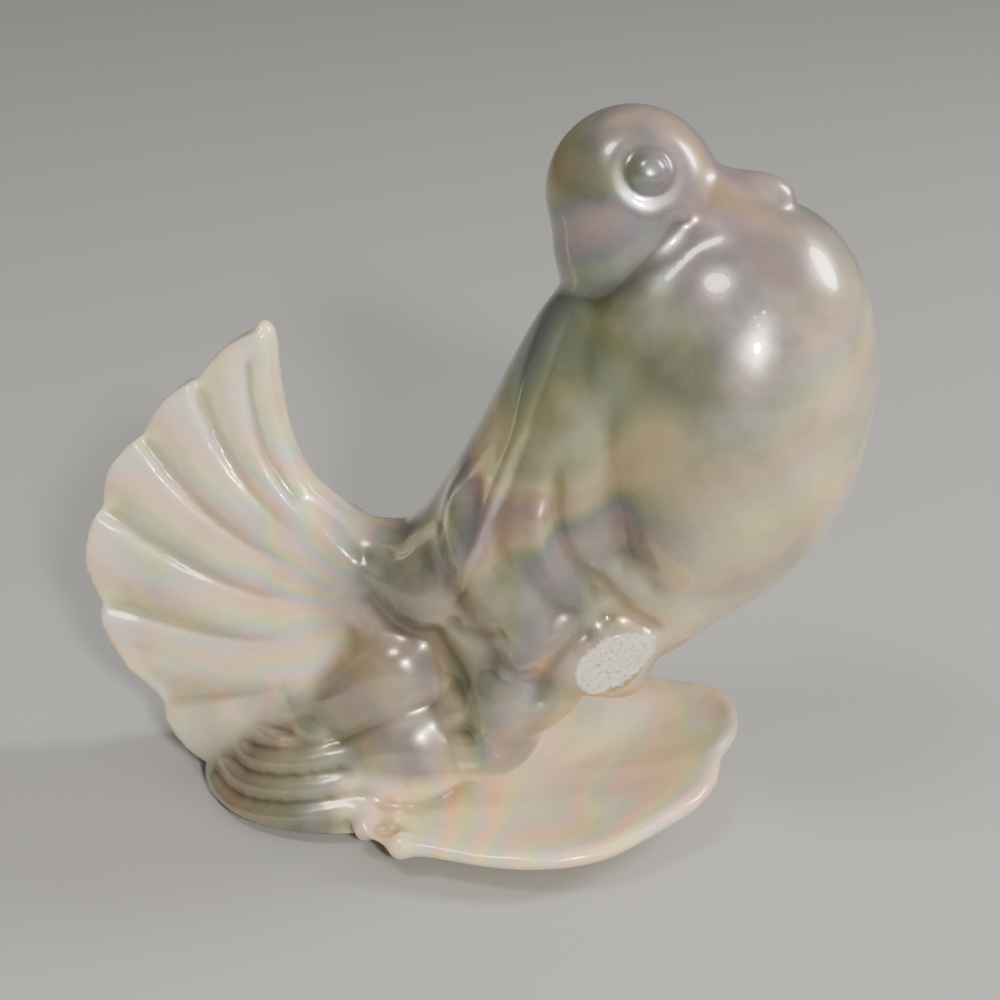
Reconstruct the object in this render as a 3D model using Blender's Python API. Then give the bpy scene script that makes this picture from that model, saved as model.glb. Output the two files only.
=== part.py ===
"""Lustre-glazed pouter dove with a fanned tail, standing on its own shell dish.

The whole figure is one hollow slip casting, so it is one solid here.
Frame: metres, +X the way the breast faces, +Y to the dove's left, +Z up.
The origin lies on the table, under the middle of the figure's outline.
The figure's free forms are written as shares of its height: one share is a
144th of it, which is a millimetre on the real figure.
"""
import math

import bmesh
import bpy
import numpy as np
from mathutils import Matrix, Vector

MM = 0.001

# Figure
FIGURE_HEIGHT = 144 * MM
SHARE = FIGURE_HEIGHT / 144

# Tail fan
TAIL_REACH = 75 * MM
TAIL_RIM_THICKNESS = 6.6 * MM
TAIL_RIM_WIDTH = 0.22
TAIL_MARGIN_THICKNESS = 5.6 * MM
TAIL_ROOT_THICKNESS = 25 * MM
TAIL_FOOT_THICKNESS = 39 * MM
FEATHER_COUNT = 6
FEATHER_RELIEF = 2.3 * MM
TAIL_ROOT = (-12.0, 0.0, 44.0)
FEATHER_REACHES = (0.848, 0.858, 0.90, 0.96, 0.985, 0.905, 0.80)

# Stump of under-tail feathers that the fan rests on
STUMP_RADIUS = 27 * MM
STUMP_HEIGHT = 16.5 * MM
RUFFLE_COUNT = 3
RUFFLE_RELIEF = 2.4 * MM
STUMP_CENTRE = (-34.2, 0.0)

# Shell dish
DISH_LENGTH = 78 * MM
DISH_WIDTH = 67.5 * MM
DISH_RIM_THICKNESS = 3.8 * MM
DISH_FLOOR_THICKNESS = 2.8 * MM
DISH_NEAR_RIM_HEIGHT = 5.8 * MM
DISH_FAR_RIM_HEIGHT = 13.0 * MM
DISH_CENTRE = (8.8, -1.9)
DISH_KNUCKLE_RADIUS = 3.7 * MM

# Chip on the near knee
CHIP_LENGTH = 17.5 * MM
CHIP_WIDTH = 10.5 * MM
CHIP_CENTRE = (24.8, -18.5, 41.2)
CHIP_FACING = (0.43, -0.89, -0.14)
CHIP_RUN = (0.78, 0.30, 0.55)

# Pour hole in the underside
POUR_HOLE_DIAMETER = 13 * MM
POUR_HOLE_DEPTH = 7 * MM

# Surface: how finely the forms are fused, and how many faces stay
FUSE_SIZE = 0.95 * MM
SMOOTHING_COUNT = 7
FACE_BUDGET = 9300

# How far the foot reaches below the table before it is cut flat
SINK = 3 * MM
# 2 would make the cushions plain balls, and more makes their sides flatter
PAD_SQUARENESS = 3.0


def at(x, y, z):
    """A place given in shares of the figure's height."""
    return Vector((x, y, z)) * SHARE


def smoothstep(low, high, value):
    """Zero below low, one above high, with a soft start and end."""
    t = np.clip((value - low) / (high - low), 0.0, 1.0)
    return t * t * (3 - 2 * t)


def smooth_course(points, steps=12):
    """Points along the smooth curve that passes through the given ones."""
    given = [np.array(p, float) for p in points]
    ends = [2 * given[0] - given[1]] + given + [2 * given[-1] - given[-2]]
    course = []
    for a, b, c, d in zip(ends, ends[1:], ends[2:], ends[3:]):
        for step in range(steps):
            t = step / steps
            course.append(0.5 * (2 * b + (c - a) * t
                                 + (2 * a - 5 * b + 4 * c - d) * t * t
                                 + (3 * b - a - 3 * c + d) * t ** 3))
    course.append(given[-1])
    return np.array(course)


def add_ball(shape, centre, radii, lean=0.0, turn=0.0):
    """A stretched ball; lean tips its top towards the breast, in degrees."""
    place = (Matrix.Translation(at(*centre))
             @ Matrix.Rotation(math.radians(turn), 4, "Z")
             @ Matrix.Rotation(math.radians(lean), 4, "Y")
             @ Matrix.Diagonal((*(r * SHARE for r in radii), 1.0)))
    bmesh.ops.create_icosphere(shape, subdivisions=5, radius=1.0, matrix=place)


def add_pair(shape, centre, radii, lean=0.0, turn=0.0):
    """The same stretched ball on the right and the left side."""
    x, y, z = centre
    for side in (-1, 1):
        add_ball(shape, (x, side * y, z), radii, lean, -side * turn)


def add_pad(shape, centre, radii, lean=0.0):
    """A stretched ball with flatter sides and rounder corners, like a cushion."""
    place = (Matrix.Translation(at(*centre)) @ Matrix.Rotation(math.radians(lean), 4, "Y")
             @ Matrix.Diagonal((*(r * SHARE for r in radii), 1.0)))
    made = bmesh.ops.create_icosphere(shape, subdivisions=5, radius=1.0)
    for vert in made["verts"]:
        x, y, z = (abs(c) ** PAD_SQUARENESS for c in vert.co)
        vert.co = place @ (vert.co / (x + y + z) ** (1 / PAD_SQUARENESS))


def close_rings(shape, rings):
    """Skin a run of rings of points, with a flat face at each end."""
    rows = [[shape.verts.new(p) for p in ring] for ring in rings]
    count = len(rows[0])
    for lower, upper in zip(rows, rows[1:]):
        for i in range(count):
            j = (i + 1) % count
            shape.faces.new((lower[i], lower[j], upper[j], upper[i]))
    shape.faces.new(list(reversed(rows[0])))
    shape.faces.new(rows[-1])


def add_loft(shape, stations, sides=64):
    """A body of oval rings along a course in the middle plane.

    Each station is x, z, half the depth in that plane, half the width.
    """
    course = smooth_course(stations)
    rings = []
    for i, (x, z, depth, width) in enumerate(course):
        ahead = course[min(i + 1, len(course) - 1)]
        behind = course[max(i - 1, 0)]
        run = Vector((ahead[0] - behind[0], 0, ahead[1] - behind[1])).normalized()
        across = Vector((run.z, 0, -run.x))
        ring = []
        for k in range(sides):
            a = 2 * math.pi * k / sides
            ring.append(at(x, width * math.sin(a), z) + across * (depth * math.cos(a) * SHARE))
        rings.append(ring)
    close_rings(shape, rings)


# Sections of the body: x, z, half the depth, half the width
BEAK = ((30, 126.4, 7.3, 8.6), (35, 126.7, 6.8, 7.6), (40, 127.0, 6.3, 6.4), (45, 127.4, 5.8, 5.2),
        (48.8, 127.6, 5.2, 4.2), (51.4, 127.2, 3.6, 3.0), (52.4, 126.8, 1.8, 1.6))
CROP = ((34.2, 45.6, 4, 5), (35.6, 49.5, 9.6, 10.6), (37.2, 54, 14.2, 15),
        (38.8, 61, 18.9, 20), (40.5, 70, 23.1, 24), (42, 80, 25.5, 26.8),
        (43, 90, 26.2, 27.5), (44.1, 100, 26.0, 26.6), (45.9, 109, 23.2, 23.6),
        (47.9, 117, 19.0, 18.6), (49.2, 122.6, 13.4, 12.6), (50.0, 126.8, 6.4, 6.2))
KEEL = ((12, 34, 9.0, 10), (24, 43, 11.8, 14), (35, 53.5, 12.6, 17), (46, 65.5, 12.4, 19),
        (52, 78, 11.0, 16))
BACK = ((28.2, 114, 13.8, 14.0), (25.6, 101, 17.8, 17.5), (20.6, 88, 19.4, 20.0),
        (15.2, 74, 20.4, 21.0), (9, 60, 21.6, 21.5), (2.5, 45, 25.0, 18.0),
        (-9, 33, 21.5, 15.5), (-20, 21, 16.0, 16.0))
TAIL_BAND = ((-45.6, 98.0, 0.8, 1.2), (-45.8, 96.6, 1.9, 2.4), (-45.7, 93, 2.3, 3.2), (-45.6, 86, 2.5, 3.4),
             (-43.8, 75, 2.4, 3.4), (-40.2, 65.6, 2.4, 3.8), (-34.0, 57.6, 2.8, 5.0),
             (-26, 52.8, 4.4, 8.0), (-16, 50, 8.0, 12.0))


def add_head_and_body(shape):
    """Head, beak, crop, back, rump, flanks and knees."""
    add_ball(shape, (23.8, 0, 128.0), (15.6, 14.8, 15.8))
    add_ball(shape, (26.2, 0, 119.0), (16.6, 15.2, 16.5))
    add_loft(shape, BEAK, sides=32)
    add_loft(shape, CROP)
    add_loft(shape, KEEL)
    add_loft(shape, BACK)
    add_ball(shape, (-10.0, 0, 48.0), (16.0, 17.0, 12.5), lean=-30)
    add_pair(shape, (6.5, 10.0, 52.0), (12.0, 13.5, 25.0), lean=-28)
    add_pair(shape, (17.5, 11.0, 43.0), (9.5, 10.5, 17.0), lean=-50)
    add_pair(shape, (4.0, 8.0, 27.8), (11.0, 13.5, 20.0), lean=57)
    add_pair(shape, (-1.0, 9.0, 17.0), (9.5, 11.0, 12.0), lean=60)
    add_pair(shape, (29.5, 9.0, 100.0), (12.5, 12.4, 21.0), lean=14)
    add_pair(shape, (39.0, 3.5, 122.5), (6.5, 8.0, 12.0), lean=84)
    add_pair(shape, (22.8, 12.2, 40.4), (8.0, 9.4, 12.5), lean=55)
    add_pad(shape, (-18.0, 0, 12.2), (12.5, 23.0, 17.0), lean=60)
    add_pad(shape, (-23.0, 0, 27.0), (9.5, 19.8, 19.0), lean=53)
    add_ball(shape, (-33.0, 0, 17.0), (12.0, 20.0, 11.0))
    add_pair(shape, (27.5, 9.0, 55.0), (9.0, 9.0, 11.0), lean=-35)
    add_ball(shape, (38.0, 0, 124.5), (9.0, 7.5, 5.5))


def feather_edge(index, nearness):
    """Angle of a feather's edge; nearness runs from 0 at the root to 1."""
    at_root = 141.0 + 14.2 * index
    at_margin = 115.0 + 18.4 * index
    return at_root + (at_margin - at_root) * nearness ** 1.3


FAN_REACHES = smooth_course([(r,) for r in FEATHER_REACHES], steps=8)[:, 0]


def feather_reach(position):
    """Length of the fan at a place across it, with a lobe for each feather."""
    spot = position / FEATHER_COUNT * (len(FAN_REACHES) - 1)
    length = np.interp(spot, np.arange(len(FAN_REACHES)), FAN_REACHES)
    lobe = abs(math.sin(math.pi * position)) ** 0.55
    return TAIL_REACH * (length - 0.022 * (1 - lobe))


def soft(low, high, value):
    """The smoothstep of one plain number."""
    t = min(1.0, max(0.0, (value - low) / (high - low)))
    return t * t * (3 - 2 * t)


# Share of a feather's width over which its edge rises
FEATHER_RISE = 0.26


def feather_crown(position):
    """Height across one feather: a quick rise past its edge, then a slow fall."""
    part = position % 1.0
    return soft(0.0, FEATHER_RISE, part) * (1 - 0.95 * soft(0.45, 1.0, part))


def tail_half_thickness(position, nearness):
    """Half the fan's thickness: a plain rim, a thin margin and a thick foot."""
    low = position / FEATHER_COUNT
    foot = soft(0.35, 1.0, low)
    margin = TAIL_MARGIN_THICKNESS
    margin += (0.7 * TAIL_FOOT_THICKNESS - margin) * soft(0.72, 1.0, low)
    middle = 0.55 * TAIL_ROOT_THICKNESS
    middle += (TAIL_FOOT_THICKNESS - middle) * foot
    body = TAIL_ROOT_THICKNESS + (middle - TAIL_ROOT_THICKNESS) * soft(0.0, 0.5, nearness)
    body += (margin - body) * soft(0.25, 1.0, nearness)
    relief = FEATHER_RELIEF * soft(0.30, 0.80, nearness)
    lip = 0.35 * FEATHER_RELIEF * soft(0.86, 0.96, nearness)
    ribbed = body / 2 + relief * (feather_crown(position) - 1.0) + lip
    plain = TAIL_RIM_THICKNESS / 2
    return plain + (ribbed - plain) * soft(0.6, 2.2, position / TAIL_RIM_WIDTH)


def add_tail_fan(shape, across=168, along=60):
    """The fan: two ribbed faces, each the mirror of the other, with a plain rim."""
    root = at(*TAIL_ROOT)
    inner = 0.06 * TAIL_REACH
    near_rows = []
    far_rows = []
    for j in range(along + 1):
        out = j / along
        near_row = []
        far_row = []
        for i in range(across + 1):
            position = FEATHER_COUNT * i / across
            radius = inner + (feather_reach(position) - inner) * out
            nearness = max(0.0, (radius - 0.45 * TAIL_REACH) / (0.5 * TAIL_REACH))
            angle = math.radians(feather_edge(position, min(nearness, 1.0)))
            half = tail_half_thickness(position, radius / TAIL_REACH)
            x = root.x + radius * math.cos(angle)
            z = root.z + radius * math.sin(angle)
            near_row.append(shape.verts.new((x, -half, z)))
            far_row.append(shape.verts.new((x, half, z)))
        near_rows.append(near_row)
        far_rows.append(far_row)
    for rows, flip in ((near_rows, False), (far_rows, True)):
        for lower, upper in zip(rows, rows[1:]):
            for i in range(across):
                corners = [lower[i], upper[i], upper[i + 1], lower[i + 1]]
                shape.faces.new(corners if not flip else corners[::-1])
    border_near = (near_rows[0] + [row[-1] for row in near_rows[1:]]
                   + near_rows[-1][-2::-1] + [row[0] for row in near_rows[-2:0:-1]])
    border_far = (far_rows[0] + [row[-1] for row in far_rows[1:]]
                  + far_rows[-1][-2::-1] + [row[0] for row in far_rows[-2:0:-1]])
    count = len(border_near)
    for i in range(count):
        j = (i + 1) % count
        shape.faces.new((border_near[i], border_near[j], border_far[j], border_far[i]))


def add_stump(shape, sides=144, levels=72):
    """The round stump under the tail, in rolls that step in as they go up.

    The rolls climb towards the dish, and fade there into the plain thigh.
    """
    x0, y0 = (c * SHARE for c in STUMP_CENTRE)
    roll = STUMP_HEIGHT / (RUFFLE_COUNT + 0.4)
    rings = []
    for j in range(levels + 1):
        z = -SINK + (STUMP_HEIGHT + SINK) * j / levels
        ring = []
        for k in range(sides):
            a = 2 * math.pi * k / sides
            forward = math.cos(a)
            climb = 0.20 * STUMP_RADIUS * max(0.0, forward + 0.6)
            rows = max(0.0, (z - climb) / roll + 0.35)
            part = rows % 1.0
            step = math.floor(rows) + soft(0.62, 1.0, part)
            bulge = math.sin(math.pi * min(1.0, part / 0.9))
            radius = STUMP_RADIUS - RUFFLE_RELIEF * (step - 0.45 * bulge)
            ring.append(Vector((x0 + radius * forward, y0 + radius * math.sin(a), z)))
        rings.append(ring)
    close_rings(shape, rings)


# The shell's reach by direction seen from above, as shares of a plain oval
SHELL_REACHES = ((-5, 0.935), (3, 0.932), (9, 0.95), (18, 1.048), (28, 1.136), (36, 1.188),
                 (42, 1.18), (49, 1.10), (57, 1.025), (75, 0.99), (110, 1.01), (150, 1.0),
                 (195, 1.0), (214, 1.10), (227, 1.165), (237, 1.11), (246, 1.04), (260, 1.01),
                 (284, 1.0), (298, 0.985), (307, 0.96), (318, 0.918), (331, 0.908),
                 (341, 0.925), (355, 0.935), (363, 0.932))
SHELL_COURSE = smooth_course(SHELL_REACHES, steps=6)


def dish_outline(angle):
    """The shell's rim seen from above: an oval with a raised far lobe and soft waves."""
    oval = 1 / math.sqrt((math.cos(angle) / (DISH_LENGTH / 2)) ** 2
                         + (math.sin(angle) / (DISH_WIDTH / 2)) ** 2)
    turned = math.degrees(angle) % 360
    return oval * float(np.interp(turned, SHELL_COURSE[:, 0], SHELL_COURSE[:, 1]))


def dish_rim_height(angle):
    """The rim is low on the near side and rises to the far lobe."""
    rise = 0.5 + 0.5 * math.cos(angle - math.radians(62))
    return DISH_NEAR_RIM_HEIGHT + (DISH_FAR_RIM_HEIGHT - DISH_NEAR_RIM_HEIGHT) * rise


def add_dish(shape, sides=160):
    """The open shell: a flat foot, a flared wall, a round rim and a hollow bowl."""
    x0, y0 = (c * SHARE for c in DISH_CENTRE)
    half_rim = DISH_RIM_THICKNESS / 2
    foot = 0.62
    hollow = 1.9
    profile = [("foot", 0.35), ("foot", foot)]
    profile += [("outer", t / 8) for t in range(1, 9)]
    profile += [("rim", t / 8) for t in range(1, 8)]
    profile += [("inner", 1 - t / 14) for t in range(0, 14)]
    rings = []
    for kind, value in profile:
        ring = []
        for k in range(sides):
            angle = 2 * math.pi * k / sides
            reach = dish_outline(angle)
            crest = dish_rim_height(angle) - half_rim
            drop = dish_rim_height(angle) - DISH_FLOOR_THICKNESS
            slope = math.atan(hollow * drop / (reach - half_rim))
            start = -math.pi / 3
            end = math.pi / 2 + slope
            if kind == "foot":
                radius, z = value * reach, -SINK
            elif kind == "outer":
                outer = reach - half_rim * (1 - math.cos(start))
                radius = foot * reach + (outer - foot * reach) * value
                z = -SINK * (1 - min(1.0, 3 * value))
                z += (crest + half_rim * math.sin(start)) * value ** 1.35
            elif kind == "rim":
                turn = start + value * (end - start)
                radius = reach - half_rim + half_rim * math.cos(turn)
                z = crest + half_rim * math.sin(turn)
            else:
                radius = value * (reach - half_rim + half_rim * math.cos(end))
                edge = crest + half_rim * math.sin(end)
                z = DISH_FLOOR_THICKNESS + (edge - DISH_FLOOR_THICKNESS) * value ** hollow
            ring.append(Vector((x0 + radius * math.cos(angle), y0 + radius * math.sin(angle), z)))
        rings.append(ring)
    close_rings(shape, rings)


# The two knuckles of the shell's hinge: direction from the dish's centre, size, stretch
KNUCKLES = ((221.5, 1.0, (1.15, 0.95, 0.90)), (234.0, 0.92, (1.10, 0.92, 0.95)))


def knuckle_place(direction, size):
    """The middle of a knuckle: on the shell's rim, sunk into it by half its radius."""
    angle = math.radians(direction)
    reach = dish_outline(angle) - 0.85 * size * DISH_KNUCKLE_RADIUS
    x0, y0 = (c * SHARE for c in DISH_CENTRE)
    return Vector((x0 + reach * math.cos(angle), y0 + reach * math.sin(angle),
                   0.62 * DISH_NEAR_RIM_HEIGHT))


def add_knuckles(shape):
    """Two small knuckles of the shell's hinge, on the near side by the stump."""
    for direction, size, stretch in KNUCKLES:
        radii = [share * size * DISH_KNUCKLE_RADIUS for share in stretch]
        place = (Matrix.Translation(knuckle_place(direction, size))
                 @ Matrix.Rotation(math.radians(direction + 90), 4, "Z")
                 @ Matrix.Diagonal((*radii, 1.0)))
        bmesh.ops.create_icosphere(shape, subdivisions=4, radius=1.0, matrix=place)


def fuse(name, shape, voxel, smoothing):
    """One mesh of one skin from the overlapping forms, with soft joins."""
    mesh = bpy.data.meshes.new(name)
    shape.to_mesh(mesh)
    shape.free()
    figure = bpy.data.objects.new(name, mesh)
    bpy.context.scene.collection.objects.link(figure)
    remesh = figure.modifiers.new("fuse", "REMESH")
    remesh.mode = "VOXEL"
    remesh.voxel_size = voxel
    soften = figure.modifiers.new("soften", "SMOOTH")
    soften.factor = 0.5
    soften.iterations = smoothing
    settle(figure)
    return figure


def settle(figure):
    """Make the modifiers' result the object's own mesh."""
    graph = bpy.context.evaluated_depsgraph_get()
    mesh = bpy.data.meshes.new_from_object(figure.evaluated_get(graph))
    figure.modifiers.clear()
    old = figure.data
    figure.data = mesh
    bpy.data.meshes.remove(old)


def read_points(mesh):
    """The mesh's points and their normals, as arrays."""
    points = np.empty(len(mesh.vertices) * 3)
    mesh.vertices.foreach_get("co", points)
    normals = np.empty(len(mesh.vertices) * 3)
    mesh.vertices.foreach_get("normal", normals)
    return points.reshape(-1, 3), normals.reshape(-1, 3)


def write_points(mesh, points):
    """Put the moved points back."""
    mesh.vertices.foreach_set("co", points.ravel())
    mesh.update()


def distance_to_course(points, course):
    """Distance of each point from a curve drawn on the side view, and place along it."""
    flat = points[:, [0, 2]]
    nearest = np.full(len(flat), 1e9)
    along = np.zeros(len(flat))
    for i, (a, b) in enumerate(zip(course, course[1:])):
        run = b - a
        t = np.clip(((flat - a) @ run) / (run @ run), 0, 1)
        gap = np.linalg.norm(flat - (a + t[:, None] * run), axis=1)
        closer = gap < nearest
        nearest = np.where(closer, gap, nearest)
        along = np.where(closer, (i + t) / (len(course) - 1), along)
    return nearest, along


# Strokes drawn on both flanks: depth below the surface, width, then x, z places
FLANK_STROKES = (
    (1.5, 2.6, ((15.5, 86), (14.8, 73), (17.6, 64), (22.4, 57), (29.5, 50), (35.5, 45.5))),
    (-0.9, 2.6, ((11.0, 76), (11.6, 67), (14.5, 59), (19.5, 53), (25, 50))),
    (0.7, 2.6, ((35.5, 128), (33, 124), (28, 119), (22, 113.5), (15.5, 108.5))),
    (-0.9, 2.4, ((14.5, 110), (8.6, 97), (6.8, 86), (3, 74), (1.3, 64.5), (-5.0, 47))),
    (0.9, 2.2, ((-6.4, 47.5), (-5.0, 43.8), (-1.5, 43.4), (3.0, 45.5), (6.5, 47.5))),
    (1.0, 2.8, ((-26, 57), (-25.5, 50), (-23, 45.5), (-17.5, 42), (-11, 40))),
    (2.2, 3.6, ((-12.5, 44), (-9.4, 39.0), (-6.0, 33.0), (-4.0, 28.5), (-3.2, 24), (-3.0, 19))),
    (1.0, 2.5, ((12.0, 29), (12.4, 34), (14.2, 40), (18.6, 45.6), (23, 48.5))),
    (-0.7, 2.0, ((2.3, 35.5), (7, 38.5), (12, 43), (15.8, 48), (18, 52))),
    (0.8, 3.0, ((-42, 22.0), (-36, 27), (-30, 34), (-25, 42))),
)


def carve_flanks(points, normals):
    """Creases and ridges that show on both flanks."""
    side = smoothstep(0.12, 0.45, np.abs(normals[:, 1]))
    for depth, width, places in FLANK_STROKES:
        course = smooth_course([(x * SHARE, z * SHARE) for x, z in places])
        gap, along = distance_to_course(points, course)
        fade = smoothstep(0.0, 0.15, along) * (1 - smoothstep(0.85, 1.0, along))
        cut = depth * SHARE * np.exp(-(gap / (width * SHARE)) ** 2) * side * fade
        points -= normals * cut[:, None]


def carve_eyes(points, normals):
    """A raised round eye in a ring crease on each side of the head."""
    for side in (-1, 1):
        eye = np.array(at(28.9, side * 12.6, 135.7))
        gap = np.linalg.norm(points - eye, axis=1) / SHARE
        socket = 0.75 * np.exp(-((gap - 4.6) / 2.3) ** 2)
        boss = 1.1 * (1 - smoothstep(1.5, 4.6, gap))
        points += normals * ((boss - socket) * SHARE)[:, None]


def carve_chip(points):
    """The glaze and some clay are broken off the near knee, which leaves a flat oval scar."""
    centre = np.array(at(*CHIP_CENTRE))
    facing = Vector(CHIP_FACING).normalized()
    across = facing.cross(Vector(CHIP_RUN)).normalized()
    run = across.cross(facing)
    height = (points - centre) @ np.array(facing)
    along = (points - centre) @ np.array(run) / CHIP_LENGTH
    aside = (points - centre) @ np.array(across) / CHIP_WIDTH
    near = 1 - smoothstep(0.55, 0.72, np.hypot(along, aside))
    points -= np.array(facing) * (np.maximum(height, 0) * near)[:, None]


def carve_shell_pit(points, normals):
    """The small dark pit between the hinge's knuckles."""
    first, second = (knuckle_place(direction, size) for direction, size, _ in KNUCKLES)
    pit = np.array((first + second) / 2)
    gap = np.linalg.norm(points - pit, axis=1) / SHARE
    points -= normals * (1.8 * np.exp(-(gap / 4.2) ** 4) * SHARE)[:, None]


def thin_out(figure, faces):
    """Keep only as many faces as the form needs."""
    triangles = sum(len(p.vertices) - 2 for p in figure.data.polygons)
    thin = figure.modifiers.new("thin out", "DECIMATE")
    thin.ratio = min(1.0, faces / triangles)
    settle(figure)


def cut_flat(figure):
    """Cut the base flat on the table and open the pour hole in it."""
    size = 3 * FIGURE_HEIGHT
    slab = bmesh.new()
    bmesh.ops.create_cube(slab, size=size, matrix=Matrix.Translation((0, 0, -size / 2)))
    hole_place = at(STUMP_CENTRE[0], STUMP_CENTRE[1], 0)
    bmesh.ops.create_cone(slab, cap_ends=True, segments=32,
                          radius1=POUR_HOLE_DIAMETER / 2, radius2=POUR_HOLE_DIAMETER / 2,
                          depth=2 * POUR_HOLE_DEPTH,
                          matrix=Matrix.Translation(hole_place))
    mesh = bpy.data.meshes.new("table_cut")
    slab.to_mesh(mesh)
    slab.free()
    cutter = bpy.data.objects.new("table_cut", mesh)
    cutter.hide_render = True
    cutter.display_type = "WIRE"
    bpy.context.scene.collection.objects.link(cutter)
    cut = figure.modifiers.new("table cut", "BOOLEAN")
    cut.operation = "DIFFERENCE"
    cut.solver = "EXACT"
    cut.use_self = True
    cut.object = cutter
    settle(figure)
    bpy.data.objects.remove(cutter)


def centre_over_origin(figure):
    """Put the middle of the outline over the origin."""
    points = read_points(figure.data)[0]
    middle = (points.min(axis=0) + points.max(axis=0)) / 2
    points[:, 0] -= middle[0]
    points[:, 1] -= middle[1]
    write_points(figure.data, points)


def glaze_material():
    """Mother-of-pearl lustre over a pale glaze."""
    material = bpy.data.materials.new("lustre_glaze")
    material.use_nodes = True
    shader = material.node_tree.nodes["Principled BSDF"]
    shader.inputs["Base Color"].default_value = (0.62, 0.57, 0.48, 1)
    shader.inputs["Roughness"].default_value = 0.12
    shader.inputs["Metallic"].default_value = 0.0
    shader.inputs["Coat Weight"].default_value = 1.0
    return material


def build_dove():
    """Fuse, carve, thin and cut the dove."""
    shape = bmesh.new()
    add_head_and_body(shape)
    add_tail_fan(shape)
    add_loft(shape, TAIL_BAND, sides=32)
    add_stump(shape)
    add_dish(shape)
    add_knuckles(shape)
    bmesh.ops.recalc_face_normals(shape, faces=shape.faces)
    figure = fuse("dove_statue", shape, FUSE_SIZE, SMOOTHING_COUNT)
    points, normals = read_points(figure.data)
    carve_flanks(points, normals)
    carve_eyes(points, normals)
    carve_chip(points)
    carve_shell_pit(points, normals)
    write_points(figure.data, points)
    thin_out(figure, FACE_BUDGET)
    cut_flat(figure)
    centre_over_origin(figure)
    figure.data.materials.clear()
    figure.data.materials.append(glaze_material())
    figure.data.shade_smooth()
    return figure


def main():
    """Empty the scene, then model the dove."""
    for thing in list(bpy.data.objects):
        bpy.data.objects.remove(thing)
    build_dove()


main()
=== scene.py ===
import math

import bmesh
import bpy
import numpy as np
from mathutils import Matrix, Vector


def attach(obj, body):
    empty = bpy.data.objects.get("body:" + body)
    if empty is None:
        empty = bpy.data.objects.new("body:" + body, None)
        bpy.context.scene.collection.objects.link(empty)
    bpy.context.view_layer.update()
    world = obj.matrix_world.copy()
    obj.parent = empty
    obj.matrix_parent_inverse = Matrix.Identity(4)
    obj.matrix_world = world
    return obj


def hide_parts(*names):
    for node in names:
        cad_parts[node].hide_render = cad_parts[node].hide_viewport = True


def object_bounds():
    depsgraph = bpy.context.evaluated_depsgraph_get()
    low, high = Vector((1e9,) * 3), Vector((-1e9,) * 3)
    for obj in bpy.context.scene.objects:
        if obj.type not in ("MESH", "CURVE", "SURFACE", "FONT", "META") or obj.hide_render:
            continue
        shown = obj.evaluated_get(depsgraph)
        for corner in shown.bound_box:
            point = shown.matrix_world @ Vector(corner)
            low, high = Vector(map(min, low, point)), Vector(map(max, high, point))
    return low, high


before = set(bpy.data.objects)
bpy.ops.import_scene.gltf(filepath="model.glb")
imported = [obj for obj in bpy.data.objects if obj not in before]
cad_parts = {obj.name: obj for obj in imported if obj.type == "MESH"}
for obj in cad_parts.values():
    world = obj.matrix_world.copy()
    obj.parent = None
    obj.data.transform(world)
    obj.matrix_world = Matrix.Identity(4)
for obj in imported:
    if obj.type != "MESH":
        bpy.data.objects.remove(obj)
solid_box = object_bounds()

MM = 0.001

# Figure: the forms below are drawn for a height of 144, and SHARE brings them to size
FIGURE_HEIGHT = 144 * MM
SHARE = FIGURE_HEIGHT / 144

# Tail fan
TAIL_REACH = 75 * MM
TAIL_RIM_THICKNESS = 6.6 * MM
TAIL_RIM_WIDTH = 0.22
TAIL_MARGIN_THICKNESS = 5.6 * MM
TAIL_ROOT_THICKNESS = 25 * MM
TAIL_FOOT_THICKNESS = 39 * MM
FEATHER_COUNT = 6
FEATHER_RELIEF = 2.3 * MM
TAIL_ROOT = (-12.0, 0.0, 44.0)
FEATHER_REACHES = (0.848, 0.858, 0.90, 0.96, 0.985, 0.905, 0.80)

# Stump of under-tail feathers that the fan rests on
STUMP_RADIUS = 27 * MM
STUMP_HEIGHT = 16.5 * MM
RUFFLE_COUNT = 3
RUFFLE_RELIEF = 2.4 * MM
STUMP_CENTRE = (-34.2, 0.0)

# Shell dish
DISH_LENGTH = 78 * MM
DISH_WIDTH = 67.5 * MM
DISH_RIM_THICKNESS = 3.8 * MM
DISH_FLOOR_THICKNESS = 2.8 * MM
DISH_NEAR_RIM_HEIGHT = 5.8 * MM
DISH_FAR_RIM_HEIGHT = 13.0 * MM
DISH_CENTRE = (8.8, -1.9)
DISH_KNUCKLE_RADIUS = 3.7 * MM

# Chip on the near knee
CHIP_LENGTH = 17.5 * MM
CHIP_WIDTH = 10.5 * MM
CHIP_CENTRE = (24.8, -18.5, 41.2)
CHIP_FACING = (0.43, -0.89, -0.14)
CHIP_RUN = (0.78, 0.30, 0.55)

# Pour hole in the underside
POUR_HOLE_DIAMETER = 13 * MM
POUR_HOLE_DEPTH = 7 * MM

# How far the foot reaches below the table before it is cut flat
SINK = 3 * MM
# 2 would make the cushions plain balls, and more makes their sides flatter
PAD_SQUARENESS = 3.0

# Eyes: x, the distance to the middle plane, z
EYE_PLACE = (28.9, 12.6, 135.7)
EYE_RING_RADIUS = 4.6

# The skin drawn over the forms, and how it is smoothed
CLAY_VOXEL = 0.68 * MM
FINAL_FACES = 198000
SMOOTHING_ROUNDS = 30
FAN_SMOOTHING = 0.05
STUMP_AND_DISH_SMOOTHING = 0.25
BODY_SMOOTHING = 0.65

# How deep a place lies below its rounded surroundings to get the full painted shade of a hollow
FULL_SHADE_DEPTH = 0.30 * MM

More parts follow.
